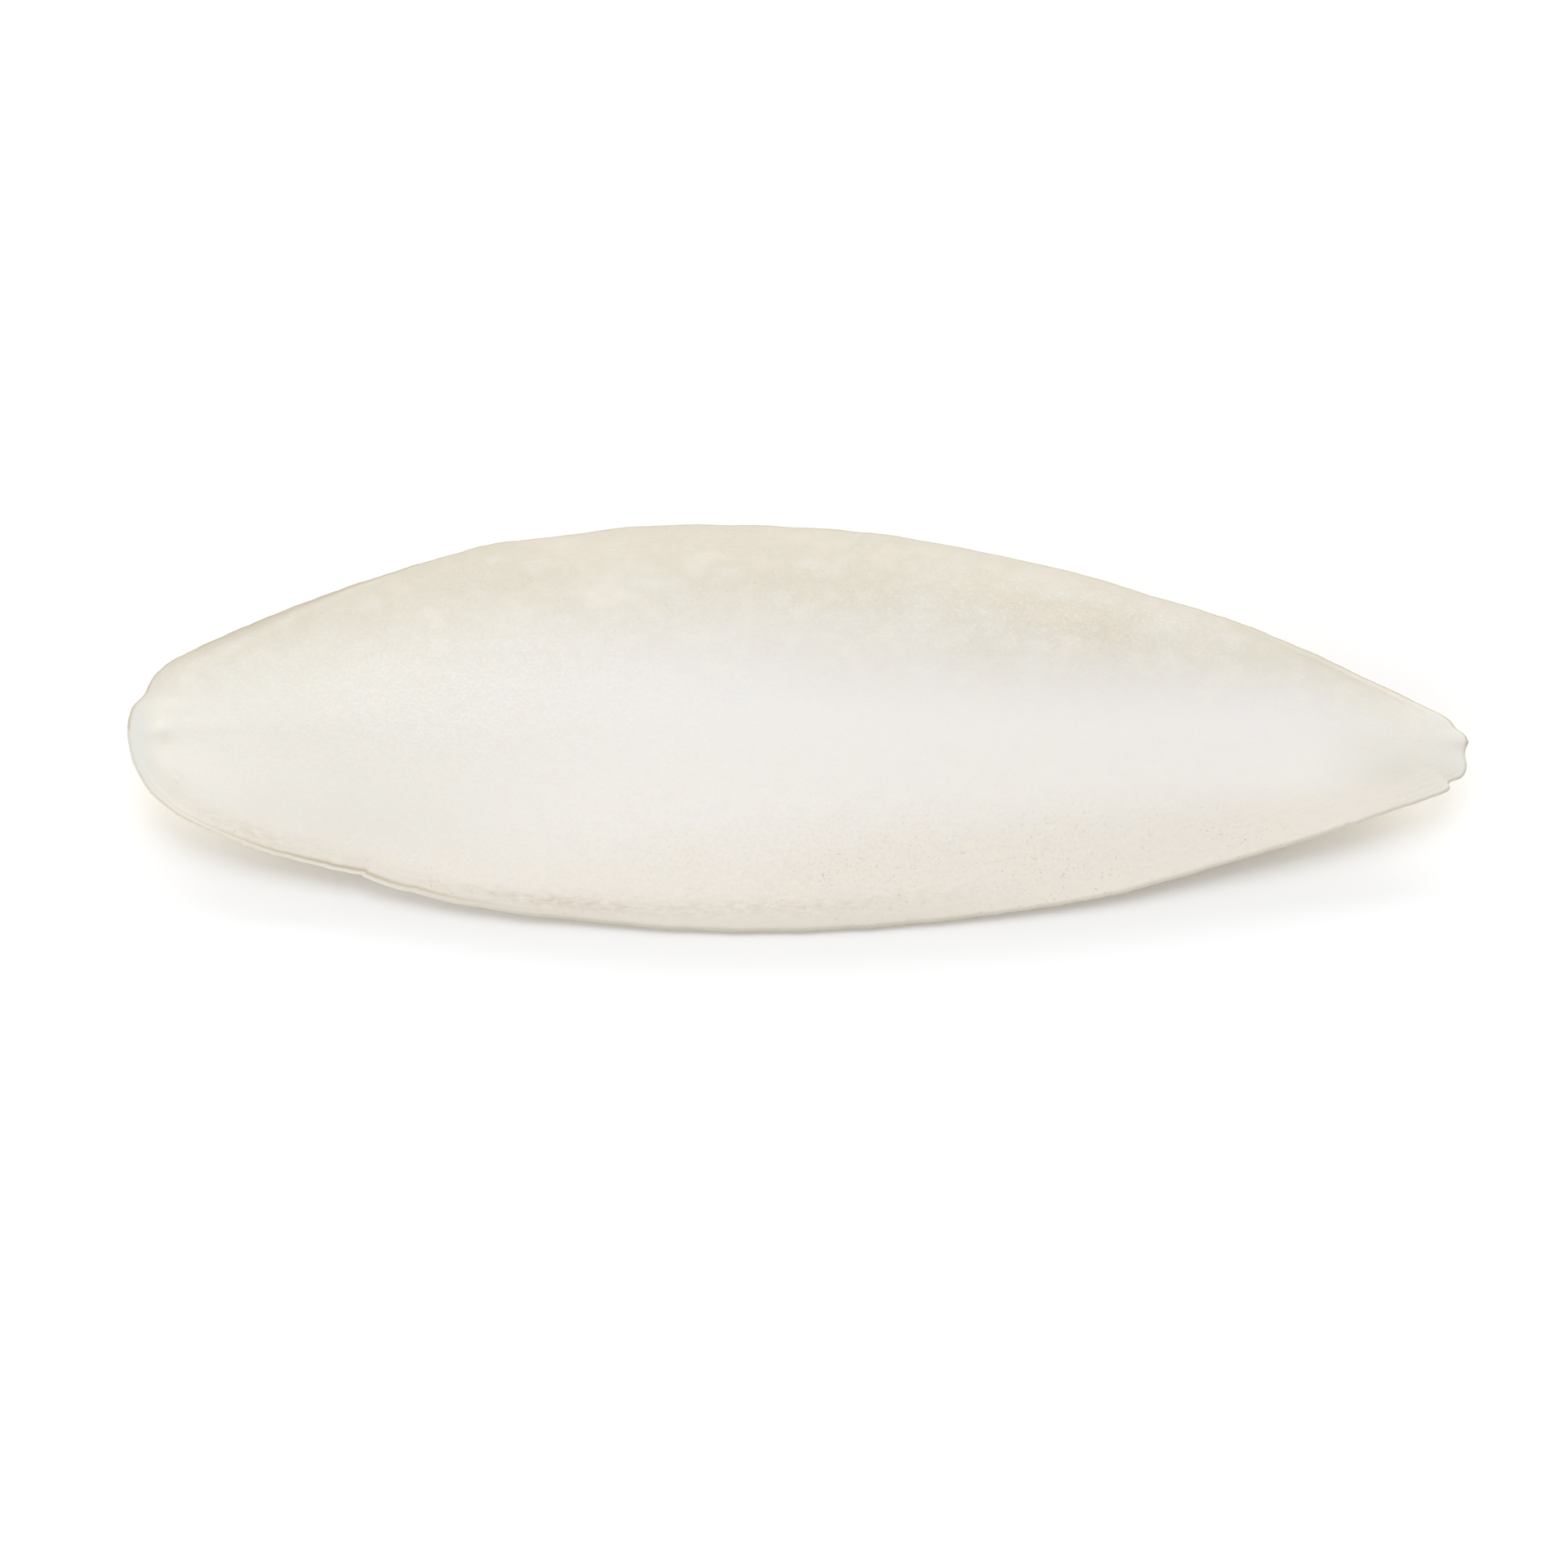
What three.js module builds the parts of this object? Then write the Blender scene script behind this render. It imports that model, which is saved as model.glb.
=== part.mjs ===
// A cuttlebone: the inner shell of one cuttlefish, grown as one piece and lying belly down.
// Millimetres. +X points to the pointed front end, +Y to the far rim and +Z up; the floor is Z = 0.
// The origin is on the floor, under the middle of the bone's bounding box.
import * as THREE from "three";

// Rim, seen from above with the bone level: [x, y] from the tail end to the broken tip.
const FAR_RIM = [
  [-87.5, -1.9], [-87.4, -0.5], [-86.8, 1.1], [-85.6, 2.6], [-84.6, 4.9], [-83.8, 6.1],
  [-82.6, 7.3], [-80.9, 8.4], [-78.6, 9.8], [-70, 14.3], [-62, 18], [-53, 21.6], [-45, 24.4],
  [-40, 25.9], [-32, 27], [-23, 28.4], [-15, 28.9], [-2, 28.7], [9, 27.8], [15, 26.9], [28, 24],
  [38, 21.3], [45, 18.8], [57, 14.5], [67, 9.7], [75, 5.2], [79.3, 2.8], [82.4, 1], [84.5, -0.3],
  [85.3, -1.1], [85.9, -2], [87.2, -3.2], [87.5, -4.1],
];
const NEAR_RIM = [
  [-87.5, -1.9], [-87.4, -3.5], [-86.8, -6.3], [-85.4, -9.4], [-84, -11.3], [-81.2, -13.7],
  [-78.3, -15.3], [-70, -18.6], [-62, -20.6], [-57, -21.8], [-53, -23.2], [-45, -25.2],
  [-36, -26.7], [-27, -27.6], [-19, -28.4], [-6, -28.9], [7, -28.5], [20, -27.3], [32, -25.7],
  [41, -24.1], [50, -21.7], [58, -19.4], [67, -16.8], [72, -15.2], [77, -13.5], [81, -12.2],
  [84, -11.2], [84.7, -10.8], [84.9, -10.3], [84.7, -9.8], [85.1, -9.6], [86.3, -9.1],
  [86.8, -8.5], [87.1, -7.2], [87, -5.7], [87.5, -4.1],
];

// Driving dimensions
const HALF_LENGTH = 87.5;
const HALF_WIDTH = 28.6;
const WIDEST_X = -8; // the station where the bone is widest
const TAIL_REACH = HALF_LENGTH + WIDEST_X; // from the widest station to the round tail
const HEAD_REACH = 102.5; // from there to where the pointed front end was before it broke off
const TAIL_BOW = 2.7; // how far the middle line swings towards the near side at each end
const HEAD_BOW = 5.6;
const VAULT = 10.6; // the back's height over the rim at the widest station
const HEAD_FULLNESS = 1.1; // keeps the front end thick as it narrows
const SHEER = 4.5; // how much higher the rim is at its two ends than at its middle
const BELLY = 3.3; // the belly's depth under the rim's lower edge
const HOLLOW = 1.1; // depth of the trough along the tail half of the belly
const HOLLOW_X = -46;
const HOLLOW_HALF_LENGTH = 26;
const HOLLOW_HALF_WIDTH = 10;
const RIM_THICKNESS = 0.6;
const BRIM = 3; // width of the thin horny brim round the tail end
const BRIM_REACH = 24; // how far along from the tail end the brim fades out
const LEAN_DEG = 5; // the bone lies leaning this much towards its near side
const REST_CUT = 0.4; // depth of the flat worn where the belly meets the floor

// Mesh density
const STEPS_ALONG = 68; // from the tail end to the tip, on each side
const BACK_RINGS = 16;
const BELLY_RINGS = 12;
const RING_CROWDING = 1.5; // over 1 crowds the rings towards the rim
const SPINE_TAIL_X = -68; // the middle line that the rings grow from
const SPINE_HEAD_X = 81;
const SEAM_FADE = 6; // power that keeps the fit to the wavy rim close to the rim

const lean = THREE.MathUtils.degToRad(LEAN_DEG);

// How far a station is from the widest one, as a share of the reach to its own end
function reachShare(x) {
  const reach = x < WIDEST_X ? TAIL_REACH : HEAD_REACH;
  return Math.min(Math.abs(x - WIDEST_X) / reach, 1);
}

// Square of the half width of the even lens shape that the wavy rim strays a little from
function lensSquared(x) {
  const share = reachShare(x);
  const tail = 1 - share ** 2 * (1 + 0.6 * (1 - share));
  const head = (1 - share ** 2) ** 2;
  return HALF_WIDTH ** 2 * (x < WIDEST_X ? tail : head);
}

// The middle line's y
function middleLine(x) {
  const bow = x < WIDEST_X ? TAIL_BOW : HEAD_BOW;
  return -bow * reachShare(x) ** 2;
}

function rimHeight(x) {
  return SHEER * (Math.abs(x) / HALF_LENGTH) ** 2.2;
}

// 1 on the middle line, 0 on the lens outline and a little below 0 outside it
function crown(x, y) {
  const offset = y - middleLine(x);
  return (lensSquared(x) - offset ** 2) / HALF_WIDTH ** 2;
}

// The back's height over the rim
function backRise(x, y) {
  const fullness = x < WIDEST_X ? 1 : 1 + HEAD_FULLNESS * reachShare(x) ** 2;
  return VAULT * fullness * crown(x, y);
}

// The belly's depth under the rim, with its keel kept level across in spite of the lean
function bellyDrop(x, y) {
  const offset = y - middleLine(x);
  const along = (x - HOLLOW_X) / HOLLOW_HALF_LENGTH;
  const across = offset / HOLLOW_HALF_WIDTH;
  const hollow = HOLLOW * Math.exp(-(along ** 2) - across ** 2);
  return (BELLY + offset * Math.tan(lean)) * crown(x, y) - hollow * reachShare(x);
}

// 0 on the rim, growing to 1 a little way in: further in where the tail end has its brim
function brimRamp(x, distance) {
  const fromTail = (x + HALF_LENGTH) / BRIM_REACH;
  const width = BRIM * Math.exp(-(fromTail ** 2));
  return 1 - Math.exp(-((distance / Math.max(width, 0.01)) ** 2));
}

// The rim points from the tail end to the tip, evenly spaced along one side
function sideOf(points) {
  const places = points.map(([x, y]) => new THREE.Vector3(x, y, 0));
  const curve = new THREE.CatmullRomCurve3(places, false, "centripetal");
  curve.arcLengthDivisions = 2000;
  return curve.getSpacedPoints(STEPS_ALONG);
}

// The point of the middle line that one step's ray leaves from
function spinePoint(step) {
  const x = THREE.MathUtils.lerp(SPINE_TAIL_X, SPINE_HEAD_X, step / STEPS_ALONG);
  return new THREE.Vector3(x, middleLine(x), 0);
}

// One point of the back or the belly: on the ray from the spine to the rim, at a share of its length
function surfacePoint(spine, rim, share, isBack) {
  const place = spine.clone().lerp(rim, share);
  const distance = spine.distanceTo(rim) * (1 - share);
  const field = isBack ? backRise : bellyDrop;
  const misfit = field(rim.x, rim.y) * share ** SEAM_FADE;
  const lift = (field(place.x, place.y) - misfit) * brimRamp(place.x, distance);
  const base = rimHeight(place.x);
  place.z = isBack ? base + lift : base - RIM_THICKNESS - lift;
  return place;
}

// Rings of points round the bone: far side towards the tip, then near side back to the tail end.
// Ring 0 is the spine, which the two sides share, and the last ring is the rim.
function layRings(rims, rings, isBack, points) {
  const around = 2 * STEPS_ALONG;
  const ids = [];
  for (let ring = 0; ring <= rings; ring += 1) {
    const share = 1 - (1 - ring / rings) ** RING_CROWDING;
    const row = [];
    for (let k = 0; k < around; k += 1) {
      const isFar = k <= STEPS_ALONG;
      const step = isFar ? k : around - k;
      if (ring === 0 && !isFar) {
        row.push(row[step]);
        continue;
      }
      const rim = isFar ? rims.far[step] : rims.near[step];
      row.push(points.length);
      points.push(surfacePoint(spinePoint(step), rim, share, isBack));
    }
    ids.push(row);
  }
  return ids;
}

// Two triangles between two neighbouring rings, or one where a corner is doubled on the spine
function quad(a, b, c, d, faces) {
  if (a !== b && b !== c && a !== c) faces.push(a, b, c);
  if (a !== c && c !== d && a !== d) faces.push(a, c, d);
}

// Lays the bone in its resting lean, wears the belly flat on the floor and centres it there
function restOnFloor(points) {
  const turn = new THREE.Matrix4().makeRotationX(lean);
  points.forEach((point) => point.applyMatrix4(turn));
  const floor = Math.min(...points.map((point) => point.z)) + REST_CUT;
  points.forEach((point) => { point.z = Math.max(point.z, floor); });
  const box = new THREE.Box3().setFromPoints(points);
  const middle = box.getCenter(new THREE.Vector3());
  const shift = new THREE.Vector3(-middle.x, -middle.y, -floor);
  points.forEach((point) => point.add(shift));
}

function boneGeometry() {
  const rims = { far: sideOf(FAR_RIM), near: sideOf(NEAR_RIM) };
  const points = [];
  const back = layRings(rims, BACK_RINGS, true, points);
  const belly = layRings(rims, BELLY_RINGS, false, points);
  const faces = [];
  const around = 2 * STEPS_ALONG;
  for (let k = 0; k < around; k += 1) {
    const next = (k + 1) % around;
    for (let ring = 1; ring <= BACK_RINGS; ring += 1) {
      quad(back[ring - 1][k], back[ring - 1][next], back[ring][next], back[ring][k], faces);
    }
    for (let ring = 1; ring <= BELLY_RINGS; ring += 1) {
      quad(belly[ring - 1][next], belly[ring - 1][k], belly[ring][k], belly[ring][next], faces);
    }
    quad(back[BACK_RINGS][k], back[BACK_RINGS][next],
      belly[BELLY_RINGS][next], belly[BELLY_RINGS][k], faces);
  }
  restOnFloor(points);
  const geometry = new THREE.BufferGeometry().setFromPoints(points);
  geometry.setIndex(faces);
  geometry.computeVertexNormals();
  return geometry;
}

const chalkyShell = new THREE.MeshStandardMaterial({ color: 0xe9e3d7, roughness: 0.8, metalness: 0 });

const bone = new THREE.Mesh(boneGeometry(), chalkyShell);
bone.name = "cuttlebone";

const model = new THREE.Group();
model.add(bone);

export default model;
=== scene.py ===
"""A cuttlebone, the inner shell of one cuttlefish, lying belly down on a pale studio floor.

Metres, with +X towards the pointed front end, +Y towards the far rim and +Z up, as in the frame.
"""
import math

import bpy
import numpy as np
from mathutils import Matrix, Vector


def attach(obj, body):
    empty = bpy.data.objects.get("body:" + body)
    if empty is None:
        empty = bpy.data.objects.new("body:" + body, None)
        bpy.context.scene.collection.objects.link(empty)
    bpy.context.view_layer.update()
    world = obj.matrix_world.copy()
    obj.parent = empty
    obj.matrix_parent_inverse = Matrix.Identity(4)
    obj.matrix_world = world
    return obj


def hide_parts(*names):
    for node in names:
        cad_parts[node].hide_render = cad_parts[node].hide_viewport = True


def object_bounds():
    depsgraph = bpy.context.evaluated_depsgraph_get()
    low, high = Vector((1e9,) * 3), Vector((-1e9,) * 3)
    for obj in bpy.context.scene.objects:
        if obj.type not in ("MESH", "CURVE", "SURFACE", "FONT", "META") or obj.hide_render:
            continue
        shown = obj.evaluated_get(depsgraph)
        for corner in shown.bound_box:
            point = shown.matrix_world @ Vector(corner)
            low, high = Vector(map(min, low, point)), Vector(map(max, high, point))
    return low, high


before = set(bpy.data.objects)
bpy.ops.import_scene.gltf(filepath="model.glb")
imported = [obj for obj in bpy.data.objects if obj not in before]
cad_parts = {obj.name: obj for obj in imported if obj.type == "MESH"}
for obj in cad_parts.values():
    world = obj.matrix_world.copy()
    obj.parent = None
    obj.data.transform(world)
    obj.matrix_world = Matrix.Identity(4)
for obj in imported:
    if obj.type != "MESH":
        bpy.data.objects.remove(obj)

cad_low, cad_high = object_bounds()


# ---------------------------------------------------------------------------------------------
# The shell
# The whole bone is one grown piece of aragonite: a hard, finely grained back shield over a stack
# of thin chalky layers. Its skin is rings of points that spread from the middle line to the rim.
# ---------------------------------------------------------------------------------------------
MM = 0.001

# The rim seen from above with the bone level: (x, y) in mm, from the tail end to the broken tip
FAR_RIM = [
    (-87.5, -1.9), (-87.4, -0.5), (-86.8, 1.1), (-85.6, 2.6), (-84.6, 4.9), (-83.8, 6.1),
    (-82.6, 7.3), (-80.9, 8.4), (-78.6, 9.8), (-70, 14.3), (-62, 18), (-53, 21.6), (-45, 24.4),
    (-40, 25.9), (-32, 27), (-23, 28.4), (-15, 28.9), (-2, 28.7), (9, 27.8), (15, 26.9), (28, 24),
    (38, 21.3), (45, 18.8), (57, 14.5), (67, 9.7), (75, 5.2), (79.3, 2.8), (82.4, 1), (84.5, -0.3),
    (85.3, -1.1), (85.9, -2), (87.2, -3.2), (87.5, -4.1),
]
NEAR_RIM = [
    (-87.5, -1.9), (-87.4, -3.5), (-86.8, -6.3), (-85.4, -9.4), (-84, -11.3), (-81.2, -13.7),
    (-78.3, -15.3), (-70, -18.6), (-62, -20.6), (-57, -21.8), (-53, -23.2), (-45, -25.2),
    (-36, -26.7), (-27, -27.6), (-19, -28.4), (-6, -28.9), (7, -28.5), (20, -27.3), (32, -25.7),
    (41, -24.1), (50, -21.7), (58, -19.4), (67, -16.8), (72, -15.2), (77, -13.5), (81, -12.2),
    (84, -11.2), (84.7, -10.8), (84.9, -10.3), (84.7, -9.8), (85.1, -9.6), (86.3, -9.1),
    (86.8, -8.5), (87.1, -7.2), (87, -5.7), (87.5, -4.1),
]
HALF_LENGTH = 87.5
HALF_WIDTH = 28.6
WIDEST_X = -8.0  # the station where the bone is widest
TAIL_REACH = HALF_LENGTH + WIDEST_X  # from the widest station to the round tail
HEAD_REACH = 102.5  # from there to where the pointed front end was before it broke off
TAIL_BOW, HEAD_BOW = 2.7, 5.6  # how far the middle line swings towards the near side at each end
TAIL_TAPER = 0.6  # the more, the sooner the tail half narrows
VAULT = 10.6  # the back's height over the rim at the widest station
HEAD_FULLNESS = 1.1  # keeps the front end thick as it narrows
SHEER, SHEER_POWER = 4.5, 2.2  # the rim's rise from its middle to its ends, and how late it comes
BOSS_HEIGHT, RIDGE_HEIGHT = 0.32, 0.05  # the root of the spine, and the ridge that leads to it
BELLY = 3.3  # the belly's depth under the rim's lower edge
HOLLOW = 1.1  # depth of the trough along the tail half of the belly
HOLLOW_X, HOLLOW_HALF_LENGTH, HOLLOW_HALF_WIDTH = -46.0, 26.0, 10.0
LIMB_DEPTH, LIMB_X = 0.55, -70.0  # the inner cone's two limbs, at the tail end of the trough
LIMB_ROOT_X, LIMB_ROOT_Y, LIMB_SPLAY = -84.0, 2.5, 0.16  # where they start, and how they spread
RIM_THICKNESS = 0.6
EDGE_ROUND = 0.16  # how far the rim's two corners are drawn in, so that its edge is rounded
BRIM, BRIM_REACH = 3.0, 24.0  # the horny brim's width at the tail end, and how far along it fades
LEAN = math.radians(5)  # towards the near side
REST_CUT = 0.4  # depth of the flat worn where the belly meets the floor
SPINE_TAIL_X, SPINE_HEAD_X = -68.0, 81.0  # the middle line that the rings grow from
SEAM_FADE = 6  # power that keeps the fit to the wavy rim close to the rim

STEPS_ALONG = 450  # on each side, so a step is about 0.4 mm
BACK_RINGS = 70
BELLY_RINGS = 34
RING_CROWDING = 1.5  # crowds the rings towards the rim, where the finest growth lines are
SAMPLES_PER_SPAN = 60  # of the curve between two rim points, before it is spaced evenly


def smooth_side(points):
    """Evenly spaced points along a centripetal Catmull-Rom curve through one side's rim points."""
    knots = np.array(points, float)
    knots = np.vstack([2 * knots[0] - knots[1], knots, 2 * knots[-1] - knots[-2]])
    dense = []
    share = np.linspace(0, 1, SAMPLES_PER_SPAN, endpoint=False)[:, None]
    for p0, p1, p2, p3 in zip(knots, knots[1:], knots[2:], knots[3:]):
        gap0, gap1, gap2 = (np.linalg.norm(b - a) ** 0.5 for a, b in ((p0, p1), (p1, p2), (p2, p3)))
        start = ((p1 - p0) / gap0 - (p2 - p0) / (gap0 + gap1) + (p2 - p1) / gap1) * gap1
        end = ((p2 - p1) / gap1 - (p3 - p1) / (gap1 + gap2) + (p3 - p2) / gap2) * gap1
        cube = 2 * (p1 - p2) + start + end
        square = 3 * (p2 - p1) - 2 * start - end
        dense.append(((cube * share + square) * share + start) * share + p1)
    dense = np.vstack([*dense, knots[-2]])
    run = np.concatenate([[0], np.cumsum(np.linalg.norm(np.diff(dense, axis=0), axis=1))])
    at = np.linspace(0, run[-1], STEPS_ALONG + 1)
    return np.stack([np.interp(at, run, dense[:, axis]) for axis in (0, 1)], axis=1)


def reach_share(x):
    """How far a station is from the widest one, as a share of the reach to its own end."""
    reach = np.where(x < WIDEST_X, TAIL_REACH, HEAD_REACH)
    return np.minimum(np.abs(x - WIDEST_X) / reach, 1)


def lens_squared(x):
    """Square of the half width of the even lens shape that the rim strays a little from."""
    share = reach_share(x)
    tail = 1 - share**2 * (1 + TAIL_TAPER * (1 - share))
    head = (1 - share**2) ** 2
    return HALF_WIDTH**2 * np.where(x < WIDEST_X, tail, head)


def middle_line(x):
    return -np.where(x < WIDEST_X, TAIL_BOW, HEAD_BOW) * reach_share(x) ** 2


def rim_height(x):
    return SHEER * (np.abs(x) / HALF_LENGTH) ** SHEER_POWER


def crown(x, y):
    """1 on the middle line, 0 on the lens outline and a little below 0 outside it."""
    return (lens_squared(x) - (y - middle_line(x)) ** 2) / HALF_WIDTH**2


def bump_at(x, y, centre, reach):
    """A soft round hill, 1 at its centre."""
    return np.exp(-(((x - centre[0]) / reach[0]) ** 2) - ((y - centre[1]) / reach[1]) ** 2)


def back_rise(x, y):
    """The back's height over the rim, with the low root of the spine at the tail end."""
    fullness = np.where(x < WIDEST_X, 1, 1 + HEAD_FULLNESS * reach_share(x) ** 2)
    boss = BOSS_HEIGHT * bump_at(x, y, (-83.4, -2.6), (1.5, 1.2))
    ridge = RIDGE_HEIGHT * bump_at(x, y, (-79, -2.4), (4, 1.1))
    return VAULT * fullness * crown(x, y) + boss + ridge


def belly_drop(x, y):
    """The belly's depth under the rim, with the two limbs of the inner cone beside the trough."""
    offset = y - middle_line(x)
    hollow = HOLLOW * bump_at(x, offset, (HOLLOW_X, 0), (HOLLOW_HALF_LENGTH, HOLLOW_HALF_WIDTH))
    limb_y = LIMB_ROOT_Y + LIMB_SPLAY * (x - LIMB_ROOT_X)
    limbs = sum(bump_at(x, offset, (LIMB_X, side * limb_y), (11, 1.1)) for side in (-1, 1))
    depth = (BELLY + offset * math.tan(LEAN)) * crown(x, y) - hollow * reach_share(x)
    return depth + LIMB_DEPTH * limbs


def brim_ramp(x, distance):
    """0 on the rim, growing to 1 a little way in: further in where the tail end has its brim."""
    width = BRIM * np.exp(-(((x + HALF_LENGTH) / BRIM_REACH) ** 2))
    return 1 - np.exp(-((distance / np.maximum(width, 0.01)) ** 2))


# The rim as one loop of x and y: far side to the tip, then near side back to the tail end
far_side, near_side = smooth_side(FAR_RIM), smooth_side(NEAR_RIM)
rim = np.vstack([far_side, near_side[-2:0:-1]])
AROUND = 2 * STEPS_ALONG
loop_step = np.arange(AROUND)
side_step = np.minimum(loop_step, AROUND - loop_step)
is_far = loop_step <= STEPS_ALONG
rim_run = np.concatenate([[0], np.cumsum(np.linalg.norm(np.diff(rim, axis=0), axis=1))])

# Small bites along the rim, always inwards: smooth noise of fixed seed, added up from waves
WAVE_SHARE = 0.45  # of the depth, for each of five waves of nearly the same length
CHIP_REACH = 0.35
WEAR_BIAS, DEEPEST_WEAR = 0.06, 0.4
wear_rng = np.random.default_rng(11)
wear = np.zeros(AROUND)
for wave_mm, depth_mm in ((9, 0.035), (4.3, 0.022), (1.9, 0.014)):
    turns = round(rim_run[-1] / wave_mm)
    for detune in (-3, -1, 0, 2, 5):
        phase = wear_rng.uniform(0, 2 * math.pi)
        wave = np.sin(2 * math.pi * (turns + detune) * loop_step / AROUND + phase)
        wear += depth_mm * WAVE_SHARE * wave
for chip_x, depth_mm in (
    (-72.5, 0.10), (-69.1, 0.13), (-61.8, 0.10), (-56.9, 0.28), (-50, 0.08), (71.6, 0.22),
):
    wear += depth_mm * np.exp(-(((rim[:, 0] - chip_x) / CHIP_REACH) ** 2)) * ~is_far
wear = np.clip(wear + WEAR_BIAS, 0, DEEPEST_WEAR)

spine_x = SPINE_TAIL_X + (SPINE_HEAD_X - SPINE_TAIL_X) * side_step / STEPS_ALONG
spine = np.stack([spine_x, middle_line(spine_x)], axis=1)
ray = rim - spine
ray_length = np.linalg.norm(ray, axis=1)
outwards = ray / ray_length[:, None]
rim = rim - outwards * wear[:, None]
ray_length = ray_length - wear


def sheet_of_rings(rings, field, base_drop, side):
    """Points of the back (side 1) or belly (side -1), ring by ring from the spine to the rim."""
    share = 1 - (1 - np.arange(rings + 1) / rings) ** RING_CROWDING
    length = ray_length - EDGE_ROUND
    reach = share[:, None] * length
    x = spine[:, 0] + outwards[:, 0] * reach
    y = spine[:, 1] + outwards[:, 1] * reach
    end_x = spine[:, 0] + outwards[:, 0] * length
    end_y = spine[:, 1] + outwards[:, 1] * length
    distance = length - reach
    misfit = field(end_x, end_y) * share[:, None] ** SEAM_FADE
    lift = (field(x, y) - misfit) * brim_ramp(x, distance)
    z = rim_height(x) - base_drop + side * lift
    return np.stack([x, y, z], axis=-1), distance


back, back_distance = sheet_of_rings(BACK_RINGS, back_rise, 0, 1)
belly, belly_distance = sheet_of_rings(BELLY_RINGS, belly_drop, RIM_THICKNESS, -1)
edge = np.stack([rim[:, 0], rim[:, 1], rim_height(rim[:, 0]) - RIM_THICKNESS / 2], axis=-1)

# A thin groove just inside the near rim's tail half, where the shield and the layers under it part
GROOVE_DEPTH = 0.16
GROOVE_X, GROOVE_REACH = -59, 18  # where along the rim it is deepest, and how far it runs each way
GROOVE_INSET, GROOVE_HALF_WIDTH = 0.5, 0.2
groove_reach = bump_at(back[..., 0], 0, (GROOVE_X, 0), (GROOVE_REACH, 1)) * ~is_far
groove_form = groove_reach * np.exp(-(((back_distance - GROOVE_INSET) / GROOVE_HALF_WIDTH) ** 2))
back[..., 2] -= GROOVE_DEPTH * groove_form


def lie_down(points):
    """Leans level points to their resting lean, in metres."""
    x, y, z = np.moveaxis(points, -1, 0)
    cos, sin = math.cos(LEAN), math.sin(LEAN)
    return np.stack([x, y * cos - z * sin, y * sin + z * cos], axis=-1) * MM


def in_order(on_back, on_edge, on_belly):
    """Rows from the back's spine out over the edge and in to the belly's; a spine row is single."""
    spine_row = slice(0, STEPS_ALONG + 1)
    return [on_back[0][spine_row], *on_back[1:], on_edge, *on_belly[:0:-1], on_belly[0][spine_row]]


rows = in_order(back, edge, belly)
level = np.vstack(rows)
placed = lie_down(level)
centre = (np.array(cad_low) + np.array(cad_high)) / 2
placed[:, :2] += centre[:2] - (placed[:, :2].min(0) + placed[:, :2].max(0)) / 2
placed[:, 2] -= placed[:, 2].min() + REST_CUT * MM - cad_low.z

first_ids = np.cumsum([0] + [len(row) for row in rows])
ids = [
    start + (loop_step if len(row) == AROUND else side_step)
    for start, row in zip(first_ids, rows)
]
following = np.roll(loop_step, -1)
faces = np.vstack([
    np.stack([inner, inner[following], outer[following], outer], axis=1)
    for inner, outer in zip(ids, ids[1:])
])

shell_mesh = bpy.data.meshes.new("cuttlebone_skin")
shell_mesh.from_pydata(placed.tolist(), [], faces.tolist())
shell_mesh.validate()
shell_mesh.update()

# What the relief and the finish need to know at each point
LIP_SHARE, LIP_WIDTH = 0.75, 0.3  # the pale lip between the groove and the rim
LEAST_HALF_WIDTH = 3  # keeps the share of the width finite at the two ends
no_edge, no_belly = np.zeros(AROUND), np.zeros_like(belly_distance)
distance = np.concatenate(in_order(back_distance, no_edge, belly_distance))
# The groove's form also places its painted shade
groove = np.concatenate(in_order(groove_form, no_edge, no_belly))
lip_form = LIP_SHARE * groove_reach * np.exp(-((back_distance / LIP_WIDTH) ** 4))
lip = np.concatenate(in_order(lip_form, lip_form[-1], no_belly))
on_back = np.concatenate(in_order(np.ones_like(back_distance), np.ones(AROUND), no_belly))
run = np.concatenate([rim_run[: len(row)] for row in rows])
x, y = level[:, 0], level[:, 1]
offset = y - middle_line(x)
across = offset / np.sqrt(np.maximum(lens_squared(x), LEAST_HALF_WIDTH**2))
is_far_side = across > 0


def ease(value):
    """A smooth step from 0 to 1."""
    value = np.clip(value, 0, 1)
    return value * value * (3 - 2 * value)


# The worn middle of the back is a long lens of its own, with stained flanks. Its border is a share
# of the width, narrowest at the waist. Painted shade darkens the far flank and painted light lifts
# the near one, over their tan and cream.
far_waist = np.exp(-(((x - 28) / np.where(x < 28, 70, 35)) ** 2))
near_waist = np.exp(-(((x - 35) / np.where(x < 35, 80, 90)) ** 2))
far_border = 0.56 - 0.30 * far_waist
near_border = 0.90 - 0.38 * near_waist
# The far flank: partly its tan colour, partly painted shade
far_flank_tan_and_shade = ease((across - far_border + 0.45) / 0.90)
far_flank_tan_and_shade *= ease((x + 93) / 22) * ease((93 - x) / 26)
# The near flank: partly its cream colour, partly painted light
near_flank_cream_and_light = ease((-across - near_border + 0.14) / 0.40) * ease((90 - x) / 24)
bleach = ease((0.30 - across) / 0.9)
tail_tint = ease((-8 - x) / 62) * (1 - 0.3 * ease(-across / 0.5))
end_tint = 0.75 * (tail_tint + ease((x - 64) / 16))

# Growth stains gather in bands beside the rim: x and distance in from it, their reaches, and depth
stain = 0.30 * np.maximum(far_flank_tan_and_shade, 0.5 * near_flank_cream_and_light)
for is_on_far, at_x, at_distance, reach_x, reach_distance, depth in (
    (False, -31, 1.7, 14, 0.7, 1.0),
    (False, -2, 2.5, 20, 0.9, 0.6),
    (False, -70, 2.2, 9, 1.2, 0.5),
    (True, -14, 4.0, 24, 2.0, 0.8),
    (True, 34, 9.0, 16, 3.0, 0.5),
    (True, 73, 1.1, 10, 0.3, 0.9),
):
    band = bump_at(x, distance, (at_x, at_distance), (reach_x, reach_distance))
    stain += depth * band * (is_far_side == is_on_far)

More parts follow.
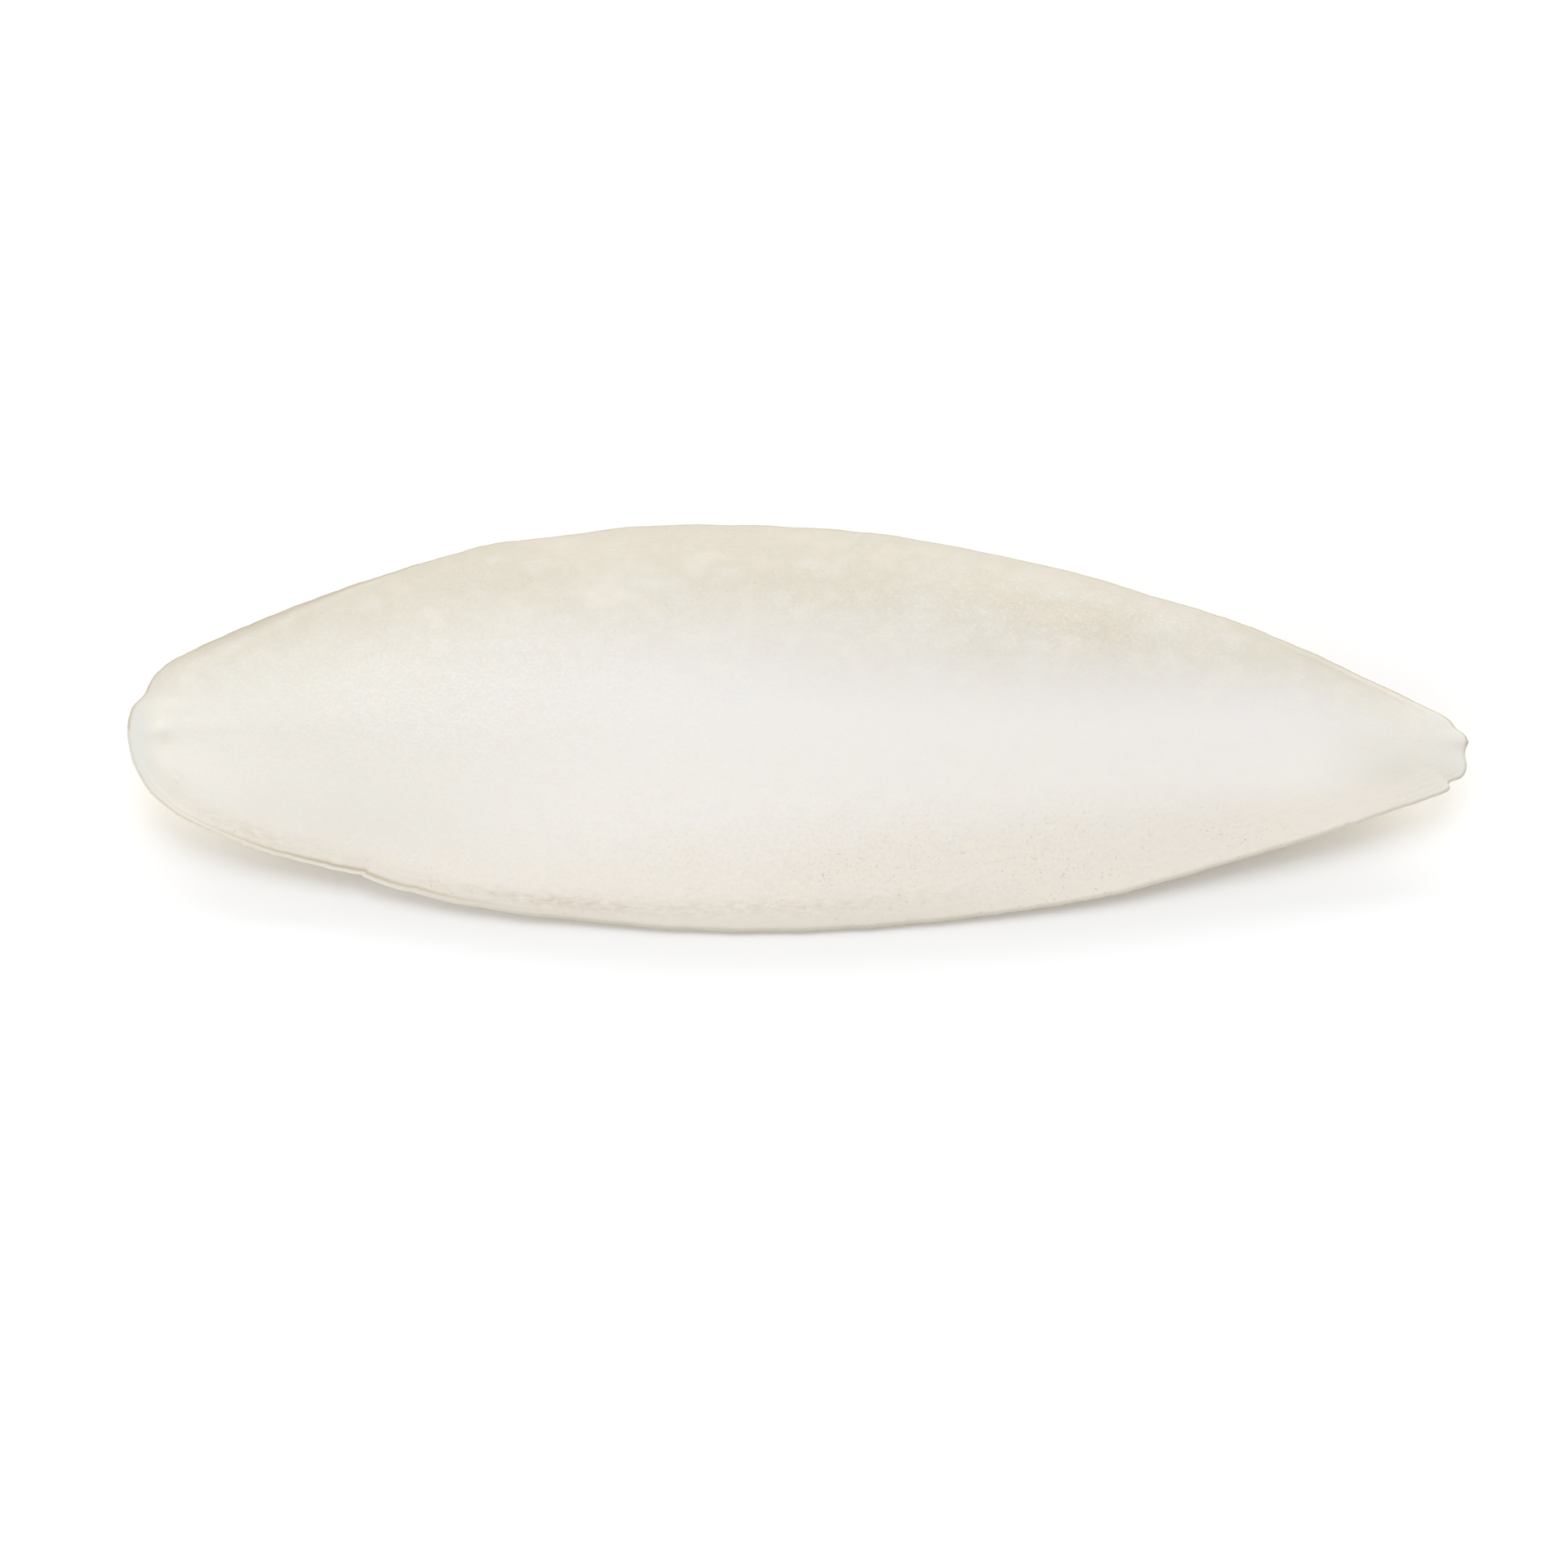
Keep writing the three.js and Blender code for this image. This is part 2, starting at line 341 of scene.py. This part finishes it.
# Small smudges beside the root of the spine, and a paler ledge along the far rim by the tip
for spot_x, spot_y, reach, depth in (
    (-84.4, -0.9, 0.9, 0.4), (-82, -4.4, 1, 0.35), (-81, -9.6, 1.3, 0.4),
):
    stain += depth * bump_at(x, y, (spot_x, spot_y), (reach, reach))
ledge = bump_at(x, distance, (72, 0.45), (9, 0.35)) * is_far_side
lip = np.maximum(lip, 0.25 * ledge * on_back)

tail_nearness = np.exp(-(((x + HALF_LENGTH) / 7) ** 2))
brim = ease((BRIM - distance) / 2.6 + 0.4) * tail_nearness * ease((4 - y) / 6)
# Painted shade along the rim: a thin dark line on its edge, where it turns away from the light, and a
# wider band over the back that darkens towards the rim
rim_edge_shade = np.where(is_far_side, 0.9, 0.4) * np.exp(-((distance / 0.22) ** 2)) * (1 - lip)
rim_shade = np.where(is_far_side, 0.25 * ease((84 - x) / 12), 0.21 * ease((45 - x) / 40))
rim_edge_shade += rim_shade * np.exp(-((distance / 2.2) ** 2)) * (1 - lip) * (1 - tail_nearness) * on_back

# The granules show most at three places on the back, and hardly at all along the worn middle
patches = bump_at(x, y, (-48, 2), (30, 12)) + bump_at(x, y, (35, 14), (38, 8))
patches += bump_at(x, y, (10, -20), (55, 7))
granules = (0.15 + 0.85 * np.clip(patches, 0, 1)) * ease((distance - 0.6) / 2.5) * on_back

# Across the belly the layers' edges are shallow arcs, clear of the rim and of the oldest end
LAYER_CURVE = 0.018
layer = x + LAYER_CURVE * offset**2
layered = ease((24 - layer) / 2) * ease((layer + 79) / 6) * ease((distance - 3.5) / 2) * (1 - on_back)

attributes = {
    "rim_distance": distance * MM,
    "rim_lines": np.exp(-distance / 4.5) * on_back,
    "layer": layer * MM,
    "layered": layered,
    "granules": granules,
    "on_back": on_back,
    "bleach": bleach,
    "far_flank_tan_and_shade": far_flank_tan_and_shade,
    "near_flank_cream_and_light": near_flank_cream_and_light,
    "end_tint": end_tint,
    "stain": stain,
    "groove": 0.8 * groove,
    "lip": lip,
    "brim": 0.85 * np.maximum(brim, 0.35 * ease((x - 80) / 6)),
    "rim_edge_shade": rim_edge_shade,
    "speckled": np.maximum(far_flank_tan_and_shade, near_flank_cream_and_light),
}
for name, values in attributes.items():
    shell_mesh.attributes.new(name, "FLOAT", "POINT").data.foreach_set("value", values)
flow = np.stack([run, distance, np.zeros_like(run)], axis=1) * MM
shell_mesh.attributes.new("flow", "FLOAT_VECTOR", "POINT").data.foreach_set("vector", flow.ravel())

shell_form = bpy.data.objects.new("cuttlebone_form", shell_mesh)
bpy.context.scene.collection.objects.link(shell_form)

# The finish: aragonite that has dried and weathered. Its fine-grained, matt back is chalk white
# where it is worn along the middle and cream to tan over the flanks, with painted shade over the far
# flank, painted light over the near one, and painted shade along the rim's edge and in its groove.
# Its brim is a horn-like grey, and its belly is bare chalk.
def linear(code):
    """An sRGB hex colour as linear red, green, blue and alpha."""
    parts = [int(code[i : i + 2], 16) / 255 for i in (1, 3, 5)]
    return (*(p / 12.92 if p <= 0.04045 else ((p + 0.055) / 1.055) ** 2.4 for p in parts), 1)


CHALK_WHITE = linear("#DBD8D5")
BLEACHED = linear("#F1EEE9")
# Partly cream and partly painted light, over the near flank
NEAR_CREAM_AND_LIGHT = linear("#EFE9E0")
# Partly tan and partly painted shade, over the far flank
FAR_TAN_AND_SHADE = linear("#C4BEAF")
END_OLIVE = linear("#DAD7CC")
COOL_MOTTLE = linear("#E1E4E4")
WARM_MOTTLE = linear("#EAE1D9")
STAIN_BROWN = linear("#C3B7A0")
PIT_SHADE = linear("#CEC6B7")
# Painted highlight on the tops of the grain
GRAIN_TOP_HIGHLIGHT = linear("#F7F5F1")
# Painted shade in the groove beside the near rim
GROOVE_SHADE = linear("#BDB293")
LIP_CREAM = linear("#EBE5DD")
HORN_GREY = linear("#D1D2CC")
# Painted shade along the rim's edge
RIM_SHADE_GREY = linear("#B3AC9B")
SPECK_BROWN = linear("#A99C84")
BELLY_CHALK = linear("#E7DABE")
LAYER_SHADE = linear("#D2C3A6")
LAYER_SPACING = 1.1 * MM  # between the edges of two layers, across the belly

# How many marks of each pattern lie along a millimetre, so that one over it is a mark's size
CLOUDS_PER_MM = 0.085
MOTTLES_PER_MM = 0.22
STREAKS_ALONG_PER_MM, STREAKS_ACROSS_PER_MM = 0.55, 2.0
GRAINS_PER_MM = 2.2
SPECKS_PER_MM = 2.6
POWDER_PER_MM = 4.2


def add(tree, kind, inputs=None, output=0, **settings):
    """Adds one node, sets its properties, fills its inputs with values or links, and gives an output."""
    node = tree.nodes.new(kind)
    for name, value in settings.items():
        setattr(node, name, value)
    for key, value in (inputs or {}).items():
        if isinstance(value, bpy.types.NodeSocket):
            tree.links.new(value, node.inputs[key])
        else:
            node.inputs[key].default_value = value
    return node.outputs[output] if node.outputs else None


def aragonite_shell():
    """Weathered aragonite: matt and a little translucent, so that its grain shows as soft speckle."""
    material = bpy.data.materials.new("weathered_aragonite")
    material.use_nodes = True
    tree = material.node_tree
    tree.nodes.clear()
    place = add(tree, "ShaderNodeTexCoord", output="Object")
    flow = add(tree, "ShaderNodeAttribute", output="Vector", attribute_name="flow")
    read = {
        name: add(tree, "ShaderNodeAttribute", output="Fac", attribute_name=name) for name in attributes
    }

    # Clouds about 12 mm across soften the borders between the worn middle and the flanks. Each coat
    # of colour is the share that it covers, and its shade. A Mix takes its share at input 0, numbers
    # at 2 and 3 and colours at 6 and 7.
    cloud_scale = CLOUDS_PER_MM / MM
    clouds = add(tree, "ShaderNodeTexNoise", {"Vector": place, "Scale": cloud_scale, "Detail": 5})
    drift = add(tree, "ShaderNodeMath", {0: clouds, 1: 0.7, 2: -0.35}, operation="MULTIPLY_ADD")
    coats = [(read["bleach"], BLEACHED)]
    # The far flank's coat is partly painted shade, and the near flank's is partly painted light
    for zone, shade in (("end_tint", END_OLIVE), ("near_flank_cream_and_light", NEAR_CREAM_AND_LIGHT), ("far_flank_tan_and_shade", FAR_TAN_AND_SHADE)):
        patchy = add(tree, "ShaderNodeMath", {0: read[zone], 1: drift}, operation="ADD", use_clamp=True)
        share = add(tree, "ShaderNodeMix", {0: read[zone], 2: read[zone], 3: patchy})
        coats.append((share, shade))

    # Mottling 4 to 5 mm across, cool in one place and warm in another
    mottle_scale = MOTTLES_PER_MM / MM
    mottle = add(tree, "ShaderNodeTexNoise", {"Vector": place, "Scale": mottle_scale, "Detail": 2})

    # Growth streaks that follow the rim, about 1.8 mm long and 0.5 mm wide
    stretch = (STREAKS_ALONG_PER_MM / MM, STREAKS_ACROSS_PER_MM / MM, 1)
    stretched = add(tree, "ShaderNodeMapping", {"Vector": flow, "Scale": stretch})
    streaks = add(
        tree, "ShaderNodeTexNoise", {"Vector": stretched, "Scale": 1, "Detail": 4, "Roughness": 0.65}
    )

    # Fine grain 0.45 mm across: painted shade in its hollows, and paler specks painted on its tops as
    # highlight
    grain = add(
        tree, "ShaderNodeTexNoise",
        {"Vector": place, "Scale": GRAINS_PER_MM / MM, "Detail": 3, "Roughness": 0.65},
    )

    # Sparse dark specks 0.4 mm across, where dirt has caught in patches of the flanks
    speck_scale = SPECKS_PER_MM / MM
    specks = add(tree, "ShaderNodeTexNoise", {"Vector": place, "Scale": speck_scale, "Detail": 2})
    cloudy = add(tree, "ShaderNodeMapRange", {0: clouds, 1: 0.42, 2: 0.62})
    caught = add(tree, "ShaderNodeMath", {0: cloudy, 1: read["speckled"]}, operation="MULTIPLY")

    # Each pattern colours the back from its start to its end value, up to a strongest share. A Map
    # Range takes its value at input 0, the span it reads at 1 and 2, and the span it gives at 3 and 4.
    for pattern, start, end, strongest, where, shade in (
        (mottle, 0.50, 0.75, 0.16, read["on_back"], COOL_MOTTLE),
        (mottle, 0.50, 0.25, 0.18, read["on_back"], WARM_MOTTLE),
        (streaks, 0.35, 0.75, 0.70, read["stain"], STAIN_BROWN),
        (grain, 0.50, 0.30, 0.20, read["granules"], PIT_SHADE),
        (grain, 0.50, 0.70, 0.20, read["granules"], GRAIN_TOP_HIGHLIGHT),
        (specks, 0.37, 0.29, 0.45, caught, SPECK_BROWN),
    ):
        share = add(tree, "ShaderNodeMapRange", {0: pattern, 1: start, 2: end, 3: 0, 4: strongest})
        share = add(tree, "ShaderNodeMath", {0: share, 1: where}, operation="MULTIPLY")
        coats.append((share, shade))

    # Painted shade in the groove beside the rim, the clean lip outside it, and the horny brim lie on top
    coats += [(read["groove"], GROOVE_SHADE), (read["lip"], LIP_CREAM), (read["brim"], HORN_GREY)]
    shield = CHALK_WHITE
    for share, shade in coats:
        shield = add(tree, "ShaderNodeMix", {0: share, 6: shield, 7: shade}, 2, data_type="RGBA")

    # The bare chalk belly, with a faint darker line at the edge of each grown layer
    turns = 2 * math.pi / LAYER_SPACING
    angle = add(tree, "ShaderNodeMath", {0: read["layer"], 1: turns}, operation="MULTIPLY")
    wave = add(tree, "ShaderNodeMath", {0: angle}, operation="SINE")
    line = add(tree, "ShaderNodeMapRange", {0: wave, 1: 0.2, 2: 1, 3: 0, 4: 0.6})
    line = add(tree, "ShaderNodeMath", {0: line, 1: read["layered"]}, operation="MULTIPLY")
    chalk = add(tree, "ShaderNodeMix", {0: line, 6: BELLY_CHALK, 7: LAYER_SHADE}, 2, data_type="RGBA")

    colour = add(tree, "ShaderNodeMix", {0: read["on_back"], 6: chalk, 7: shield}, 2, data_type="RGBA")
    # Painted shade along the rim, laid over all the rest
    colour = add(
        tree, "ShaderNodeMix", {0: read["rim_edge_shade"], 6: colour, 7: RIM_SHADE_GREY}, 2, data_type="RGBA"
    )

    # Powdery chalk is rougher than the horny brim
    roughness = add(tree, "ShaderNodeMapRange", {0: read["brim"], 1: 0, 2: 0.85, 3: 0.82, 4: 0.5})

    # Two bumps: powder 0.24 mm across, and over it the same grain that is coloured
    powder = add(
        tree, "ShaderNodeTexNoise",
        {"Vector": place, "Scale": POWDER_PER_MM / MM, "Detail": 2, "Roughness": 0.6},
    )
    powder_bump = add(
        tree, "ShaderNodeBump", {"Height": powder, "Distance": 0.03 * MM, "Strength": 0.7}
    )
    grain_bump = add(
        tree, "ShaderNodeBump",
        {"Height": grain, "Distance": 0.06 * MM, "Strength": read["granules"], "Normal": powder_bump},
    )

    surface = add(
        tree, "ShaderNodeBsdfPrincipled",
        {
            "Base Color": colour, "Roughness": roughness, "IOR": 1.55, "Normal": grain_bump,
            "Subsurface Weight": 0.2, "Subsurface Scale": 1 * MM, "Subsurface Radius": (1.6, 1.2, 0.8),
        },
    )
    add(tree, "ShaderNodeOutputMaterial", {"Surface": surface})
    return material


weathered_aragonite = aragonite_shell()

# The relief: low granules over the back, fine lines along the rim left as the shell grew outwards,
# and the edges of the layers across the belly. Geometry Nodes raise them along the skin's normals.
relief = bpy.data.node_groups.new("grown_relief", "GeometryNodeTree")
relief_inputs = {
    "Granule pitch": ("NodeSocketFloat", 1.5 * MM),
    "Granule height": ("NodeSocketFloat", 0.045 * MM),
    "Rim line spacing": ("NodeSocketFloat", 0.9 * MM),
    "Rim line height": ("NodeSocketFloat", 0.010 * MM),
    "Layer spacing": ("NodeSocketFloat", LAYER_SPACING),
    "Layer height": ("NodeSocketFloat", 0.05 * MM),
    "Unevenness": ("NodeSocketFloat", 0.10 * MM),
    "Seed": ("NodeSocketFloat", 4.0),
    "Lowest corner": ("NodeSocketVector", tuple(cad_low)),
    "Highest corner": ("NodeSocketVector", tuple(cad_high)),
    "Finish": ("NodeSocketMaterial", weathered_aragonite),
}
relief.interface.new_socket("Geometry", in_out="INPUT", socket_type="NodeSocketGeometry")
sockets = {
    name: relief.interface.new_socket(name, in_out="INPUT", socket_type=kind)
    for name, (kind, value) in relief_inputs.items()
}
relief.interface.new_socket("Geometry", in_out="OUTPUT", socket_type="NodeSocketGeometry")

given = relief.nodes.new("NodeGroupInput").outputs
point = add(relief, "GeometryNodeInputPosition")
normal = add(relief, "GeometryNodeInputNormal")
read = {
    name: add(relief, "GeometryNodeInputNamedAttribute", {"Name": name}, data_type="FLOAT")
    for name in ("rim_distance", "rim_lines", "granules", "layer", "layered")
}

# Granules: rounded cells, highest at their middles
cell_scale = add(relief, "ShaderNodeMath", {0: 1.0, 1: given["Granule pitch"]}, operation="DIVIDE")
cells = add(
    relief, "ShaderNodeTexVoronoi",
    {"Vector": point, "W": given["Seed"], "Scale": cell_scale, "Smoothness": 0.8},
    voronoi_dimensions="4D", feature="SMOOTH_F1",
)
domes = add(relief, "ShaderNodeMath", {0: 0.5, 1: cells}, operation="SUBTRACT")
domes = add(relief, "ShaderNodeMath", {0: domes, 1: read["granules"]}, operation="MULTIPLY")
height = add(relief, "ShaderNodeMath", {0: domes, 1: given["Granule height"]}, operation="MULTIPLY")

# A slow wander of about 9 mm keeps the lines from running quite true, and the skin from being even
WANDERS_PER_MM = 0.11
wander = add(
    relief, "ShaderNodeTexNoise",
    {"Vector": point, "W": given["Seed"], "Scale": WANDERS_PER_MM / MM, "Detail": 3.0},
    noise_dimensions="4D",
)
wander = add(relief, "ShaderNodeMath", {0: wander, 1: 0.5}, operation="SUBTRACT")
swell = add(relief, "ShaderNodeMath", {0: wander, 1: given["Unevenness"]}, operation="MULTIPLY")
height = add(relief, "ShaderNodeMath", {0: height, 1: swell}, operation="ADD")

# Growth lines along the rim and layer edges across the belly: waves of the distance grown, which
# the wander shifts by up to about one line
LINE_WANDER = 3.0
for grown, mask, spacing, crest in (
    ("rim_distance", "rim_lines", "Rim line spacing", "Rim line height"),
    ("layer", "layered", "Layer spacing", "Layer height"),
):
    cycles = add(relief, "ShaderNodeMath", {0: read[grown], 1: given[spacing]}, operation="DIVIDE")
    cycles = add(
        relief, "ShaderNodeMath", {0: wander, 1: LINE_WANDER, 2: cycles}, operation="MULTIPLY_ADD"
    )
    angle = add(relief, "ShaderNodeMath", {0: cycles, 1: 2 * math.pi}, operation="MULTIPLY")
    wave = add(relief, "ShaderNodeMath", {0: angle}, operation="SINE")
    wave = add(relief, "ShaderNodeMath", {0: wave, 1: read[mask]}, operation="MULTIPLY")
    wave = add(relief, "ShaderNodeMath", {0: wave, 1: given[crest]}, operation="MULTIPLY")
    height = add(relief, "ShaderNodeMath", {0: height, 1: wave}, operation="ADD")

lift = add(relief, "ShaderNodeVectorMath", {0: normal, "Scale": height}, operation="SCALE")
skin = add(relief, "GeometryNodeSetPosition", {"Geometry": given["Geometry"], "Offset": lift})

# The floor wears the belly flat, and nothing stands outside the box that the solid fills
within = add(relief, "ShaderNodeVectorMath", {0: point, 1: given["Lowest corner"]}, operation="MAXIMUM")
within = add(relief, "ShaderNodeVectorMath", {0: within, 1: given["Highest corner"]}, operation="MINIMUM")
skin = add(relief, "GeometryNodeSetPosition", {"Geometry": skin, "Position": within})
skin = add(relief, "GeometryNodeSetShadeSmooth", {"Geometry": skin})
skin = add(relief, "GeometryNodeRealizeInstances", {"Geometry": skin})
skin = add(relief, "GeometryNodeSetMaterial", {"Geometry": skin, "Material": given["Finish"]})
add(relief, "NodeGroupOutput", {"Geometry": skin})

growth = shell_form.modifiers.new("grown_relief", "NODES")
growth.node_group = relief
for name, (kind, value) in relief_inputs.items():
    growth[sockets[name].identifier] = value

depsgraph = bpy.context.evaluated_depsgraph_get()
bone_mesh = bpy.data.meshes.new_from_object(shell_form.evaluated_get(depsgraph))
bone_mesh.name = "cuttlebone_shell"
bpy.data.objects.remove(shell_form)
bone = bpy.data.objects.new("cuttlebone_shell", bone_mesh)
bpy.context.scene.collection.objects.link(bone)
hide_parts("cuttlebone")
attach(bone, "root")


# ---------------------------------------------------------------------------------------------
# The studio
# A sheet of white card lies under the bone, inside a tent of soft light: long softboxes low behind
# and in front, one at each end, and one overhead. The camera looks down on the back from in front.
# ---------------------------------------------------------------------------------------------
FLOOR_HALF = 3.0  # half the card's side, in metres
FLOOR_GAP = 0.02 * MM  # keeps the floor's face apart from the belly's flat

floor_mesh = bpy.data.meshes.new("floor")
corners = [
    (sx * FLOOR_HALF, sy * FLOOR_HALF, -FLOOR_GAP)
    for sx, sy in ((-1, -1), (1, -1), (1, 1), (-1, 1))
]
floor_mesh.from_pydata(corners, [], [(0, 1, 2, 3)])
floor = bpy.data.objects.new("floor", floor_mesh)
bpy.context.scene.collection.objects.link(floor)
matt_card = bpy.data.materials.new("matt_white_card")
matt_card.use_nodes = True
card = matt_card.node_tree.nodes["Principled BSDF"]
card.inputs["Base Color"].default_value = linear("#FAFAFA")
card.inputs["Roughness"].default_value = 0.9
floor_mesh.materials.append(matt_card)

world = bpy.data.worlds.new("white_walls")
bpy.context.scene.world = world
world.use_nodes = True
walls = world.node_tree.nodes["Background"]
walls.inputs["Color"].default_value = linear("#FFFCF8")
walls.inputs["Strength"].default_value = 0.34

# Each softbox is 1 m from the bone and faces it: compass angle and height in degrees, size in metres
for name, compass, height, size, watts, tint in (
    ("back_softbox", 90, 22, (1.6, 0.35), 9.5, "#F9FBFF"),
    ("front_softbox", 250, 30, (1.4, 0.45), 4.0, "#FFFDFA"),
    ("left_softbox", 184, 30, (0.9, 0.4), 3.0, "#FAFCFF"),
    ("right_softbox", 18, 30, (0.9, 0.4), 2.03, "#FAFCFF"),
    ("overhead_softbox", 90, 74, (1.0, 0.7), 3.4, "#FAFCFF"),
):
    lamp_data = bpy.data.lights.new(name, "AREA")
    lamp_data.shape = "RECTANGLE"
    lamp_data.size, lamp_data.size_y = size
    lamp_data.color = linear(tint)[:3]
    lamp_data.energy = watts
    lamp = bpy.data.objects.new(name, lamp_data)
    turn, rise = math.radians(compass), math.radians(height)
    lamp.location = (math.cos(turn) * math.cos(rise), math.sin(turn) * math.cos(rise), math.sin(rise))
    lamp.rotation_euler = (-lamp.location).to_track_quat("-Z", "Y").to_euler()
    bpy.context.scene.collection.objects.link(lamp)

# The lens is long, so that the bone keeps its true proportions
CAMERA_TILT = math.radians(63)  # above the horizon
CAMERA_AIM = Vector((-0.0018, -0.0069, 0))  # a point of the floor, in metres
FRAME_WIDTH = 0.2054  # metres across the view, at that point
LENS, SENSOR_WIDTH = 180, 36  # in millimetres
FARTHEST_SEEN = 20  # metres
camera_data = bpy.data.cameras.new("camera")
camera_data.lens, camera_data.sensor_width = LENS, SENSOR_WIDTH
camera_data.clip_end = FARTHEST_SEEN
camera = bpy.data.objects.new("camera", camera_data)
distance_back = FRAME_WIDTH * camera_data.lens / camera_data.sensor_width
view_line = Vector((0, -math.cos(CAMERA_TILT), math.sin(CAMERA_TILT)))
camera.location = CAMERA_AIM + distance_back * view_line
camera.rotation_euler = (math.pi / 2 - CAMERA_TILT, 0, 0)
bpy.context.scene.collection.objects.link(camera)
bpy.context.scene.camera = camera
bpy.context.scene.view_settings.view_transform = "Standard"
